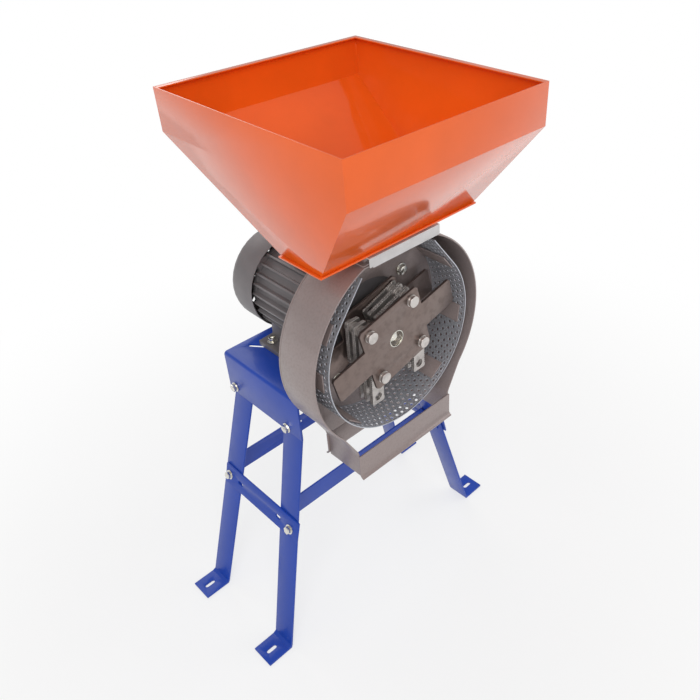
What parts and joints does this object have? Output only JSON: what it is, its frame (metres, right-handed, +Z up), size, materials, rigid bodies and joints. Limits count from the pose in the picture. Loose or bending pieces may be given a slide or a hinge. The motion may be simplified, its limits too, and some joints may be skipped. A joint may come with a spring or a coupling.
{
  "type": "hammer mill",
  "caption": "Motor-driven hammer mill on a splayed stand: open hopper over a slide gate, round grinding chamber with perforated screen and swinging toothed hammers, chute below.",
  "frame": {"origin": "centre of the bounding box, on the ground", "axes": "+Z up, -Y towards the open front of the chamber where the gate slides out, +X to the right seen from the front; the motor axis is along Y"},
  "size_m": [0.754, 0.554, 1.2381],
  "materials": {
    "hopper_paint": "gloss",
    "stand_paint": "gloss",
    "housing_paint": "satin",
    "motor_paint": "satin",
    "screen_steel": "galvanised",
    "gate_steel": "galvanised",
    "rotor_plate": "satin",
    "turned_steel": "turned",
    "hammer_steel": "rolled",
    "zinc_plate": "zinc plated",
    "fan_plastic": "moulded",
    "core_steel": "laminated"
  },
  "bodies": {
    "mill": {"hopper": "hopper_paint", "stand_table": "stand_paint", "leg_front_left": "stand_paint", "leg_front_right": "stand_paint", "leg_rear_left": "stand_paint", "leg_rear_right": "stand_paint", "end_brace_left": "stand_paint", "end_brace_right": "stand_paint", "long_brace_front": "stand_paint", "long_brace_rear": "stand_paint", "housing_shell": "housing_paint", "housing_back_plate": "housing_paint", "discharge_front_strip": "housing_paint", "discharge_rear_strip": "housing_paint", "gate_collar": "housing_paint", "motor_frame": "motor_paint", "motor_front_shield": "motor_paint", "motor_rear_shield": "motor_paint", "fan_cover": "motor_paint", "terminal_box": "motor_paint", "terminal_lid": "motor_paint", "screen": "screen_steel", "bearing_front": "turned_steel", "bearing_rear": "turned_steel", "flange_bolt_1": "zinc_plate", "flange_bolt_2": "zinc_plate", "flange_bolt_3": "zinc_plate", "flange_bolt_4": "zinc_plate", "foot_bolt_1": "zinc_plate", "foot_bolt_2": "zinc_plate", "foot_bolt_3": "zinc_plate", "foot_bolt_4": "zinc_plate", "stator_core": "core_steel"},
    "feed_gate": {"feed_gate": "gate_steel"},
    "rotor": {"motor_shaft": "turned_steel", "cooling_fan": "fan_plastic", "rotor_hub": "turned_steel", "rotor_front_plate": "rotor_plate", "rotor_rear_plate": "rotor_plate", "rotor_centre_bolt": "zinc_plate", "hammer_pin_1": "turned_steel", "hammer_pin_2": "turned_steel", "hammer_pin_3": "turned_steel", "hammer_pin_4": "turned_steel"},
    "hammer_1_1": {"hammer_1_1": "hammer_steel"},
    "hammer_1_2": {"hammer_1_2": "hammer_steel"},
    "hammer_1_3": {"hammer_1_3": "hammer_steel"},
    "hammer_2_1": {"hammer_2_1": "hammer_steel"},
    "hammer_2_2": {"hammer_2_2": "hammer_steel"},
    "hammer_2_3": {"hammer_2_3": "hammer_steel"},
    "hammer_3_1": {"hammer_3_1": "hammer_steel"},
    "hammer_3_2": {"hammer_3_2": "hammer_steel"},
    "hammer_3_3": {"hammer_3_3": "hammer_steel"},
    "hammer_4_1": {"hammer_4_1": "hammer_steel"},
    "hammer_4_2": {"hammer_4_2": "hammer_steel"},
    "hammer_4_3": {"hammer_4_3": "hammer_steel"}
  },
  "joints": [
    {"name": "rotor_spin", "type": "hinge", "parent": "mill", "child": "rotor", "pos_m": [0, -0.09595, 0.764], "axis": [0, -1, 0], "continuous": true},
    {"name": "feed_gate_slide", "type": "slide", "parent": "mill", "child": "feed_gate", "axis": [0, -1, 0], "range_m": [0, 0.072]},
    {"name": "hammer_1_1_swing", "type": "hinge", "parent": "rotor", "child": "hammer_1_1", "pos_m": [0.04156, -0.10945, 0.83317], "axis": [0, -1, 0], "range_deg": [-282, 0.3]},
    {"name": "hammer_1_2_swing", "type": "hinge", "parent": "rotor", "child": "hammer_1_2", "pos_m": [0.04156, -0.09145, 0.83317], "axis": [0, -1, 0], "range_deg": [-282, 0.3]},
    {"name": "hammer_1_3_swing", "type": "hinge", "parent": "rotor", "child": "hammer_1_3", "pos_m": [0.04156, -0.07345, 0.83317], "axis": [0, -1, 0], "range_deg": [-282, 0.3]},
    {"name": "hammer_2_1_swing", "type": "hinge", "parent": "rotor", "child": "hammer_2_1", "pos_m": [-0.06917, -0.11845, 0.80556], "axis": [0, -1, 0], "range_deg": [-260, 19]},
    {"name": "hammer_2_2_swing", "type": "hinge", "parent": "rotor", "child": "hammer_2_2", "pos_m": [-0.06917, -0.10045, 0.80556], "axis": [0, -1, 0], "range_deg": [-260, 19]},
    {"name": "hammer_2_3_swing", "type": "hinge", "parent": "rotor", "child": "hammer_2_3", "pos_m": [-0.06917, -0.08245, 0.80556], "axis": [0, -1, 0], "range_deg": [-260, 19]},
    {"name": "hammer_3_1_swing", "type": "hinge", "parent": "rotor", "child": "hammer_3_1", "pos_m": [-0.04156, -0.10945, 0.69483], "axis": [0, -1, 0], "range_deg": [-171, 109]},
    {"name": "hammer_3_2_swing", "type": "hinge", "parent": "rotor", "child": "hammer_3_2", "pos_m": [-0.04156, -0.09145, 0.69483], "axis": [0, -1, 0], "range_deg": [-171, 109]},
    {"name": "hammer_3_3_swing", "type": "hinge", "parent": "rotor", "child": "hammer_3_3", "pos_m": [-0.04156, -0.07345, 0.69483], "axis": [0, -1, 0], "range_deg": [-171, 109]},
    {"name": "hammer_4_1_swing", "type": "hinge", "parent": "rotor", "child": "hammer_4_1", "pos_m": [0.06917, -0.11845, 0.72244], "axis": [0, -1, 0], "range_deg": [-81, 199]},
    {"name": "hammer_4_2_swing", "type": "hinge", "parent": "rotor", "child": "hammer_4_2", "pos_m": [0.06917, -0.10045, 0.72244], "axis": [0, -1, 0], "range_deg": [-81, 199]},
    {"name": "hammer_4_3_swing", "type": "hinge", "parent": "rotor", "child": "hammer_4_3", "pos_m": [0.06917, -0.08245, 0.72244], "axis": [0, -1, 0], "range_deg": [-81, 199]}
  ]
}
